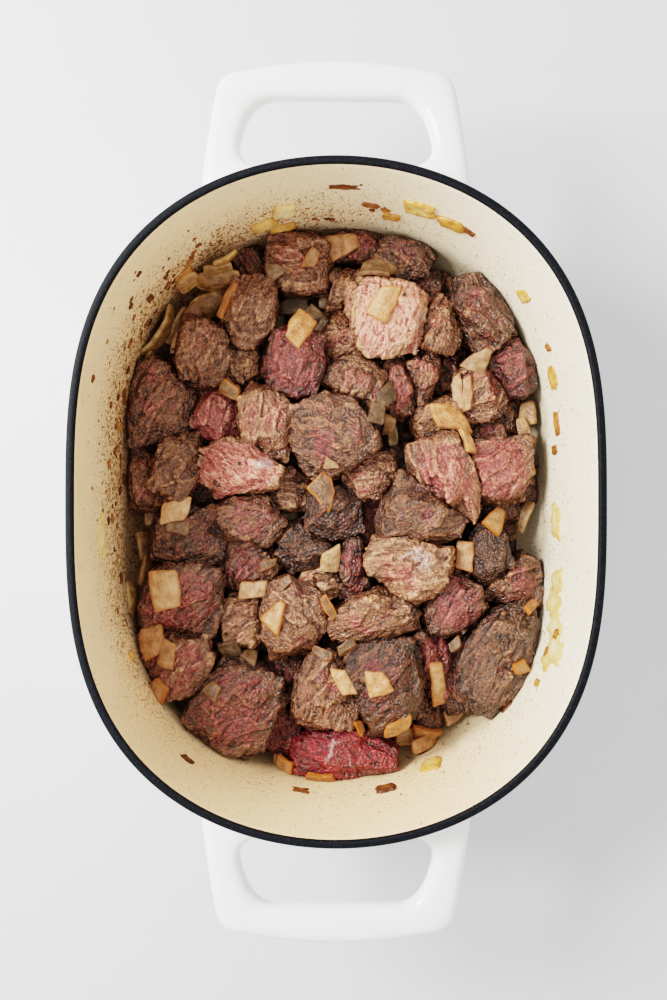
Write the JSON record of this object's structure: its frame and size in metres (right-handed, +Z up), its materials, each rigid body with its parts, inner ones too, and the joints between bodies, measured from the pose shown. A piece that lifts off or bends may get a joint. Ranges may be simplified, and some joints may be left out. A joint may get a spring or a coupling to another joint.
{
  "type": "pot of stew meat browning",
  "caption": "Open oval enamelled cast-iron pot with a loop handle at each end, holding a heap of browned stew meat with diced onion and a little juice.",
  "frame": {"origin": "on the table under the middle of the pot", "axes": "+Z up, +Y along the pot through one handle, +X to the right of it"},
  "size_m": [0.25, 0.422, 0.115],
  "materials": {
    "enamel": "glossy white enamel outside, cream enamel inside, matt black rim",
    "browned_meat": "moist seared meat",
    "onion": "moist translucent cooked onion",
    "juices": "glossy brown juices"
  },
  "bodies": {
    "root": {"pot": "enamel", "stew_bed": "juices", "meat_01": "browned_meat", "meat_02": "browned_meat", "meat_03": "browned_meat", "meat_04": "browned_meat", "meat_05": "browned_meat", "meat_06": "browned_meat", "meat_07": "browned_meat", "meat_08": "browned_meat", "meat_09": "browned_meat", "meat_10": "browned_meat", "meat_11": "browned_meat", "meat_12": "browned_meat", "meat_13": "browned_meat", "meat_14": "browned_meat", "meat_15": "browned_meat", "meat_16": "browned_meat", "meat_17": "browned_meat", "meat_18": "browned_meat", "meat_19": "browned_meat", "meat_20": "browned_meat", "meat_21": "browned_meat", "meat_22": "browned_meat", "meat_23": "browned_meat", "meat_24": "browned_meat", "meat_25": "browned_meat", "meat_26": "browned_meat", "meat_27": "browned_meat", "meat_28": "browned_meat", "meat_29": "browned_meat", "meat_30": "browned_meat", "meat_31": "browned_meat", "meat_32": "browned_meat", "meat_33": "browned_meat", "meat_34": "browned_meat", "meat_35": "browned_meat", "meat_36": "browned_meat", "meat_37": "browned_meat", "meat_38": "browned_meat", "meat_39": "browned_meat", "meat_40": "browned_meat", "meat_41": "browned_meat", "meat_42": "browned_meat", "meat_43": "browned_meat", "meat_44": "browned_meat", "meat_45": "browned_meat", "meat_46": "browned_meat", "meat_47": "browned_meat", "meat_48": "browned_meat", "meat_49": "browned_meat", "meat_50": "browned_meat", "meat_51": "browned_meat", "onion_01": "onion", "onion_02": "onion", "onion_03": "onion", "onion_04": "onion", "onion_05": "onion", "onion_06": "onion", "onion_07": "onion"}
  },
  "joints": []
}
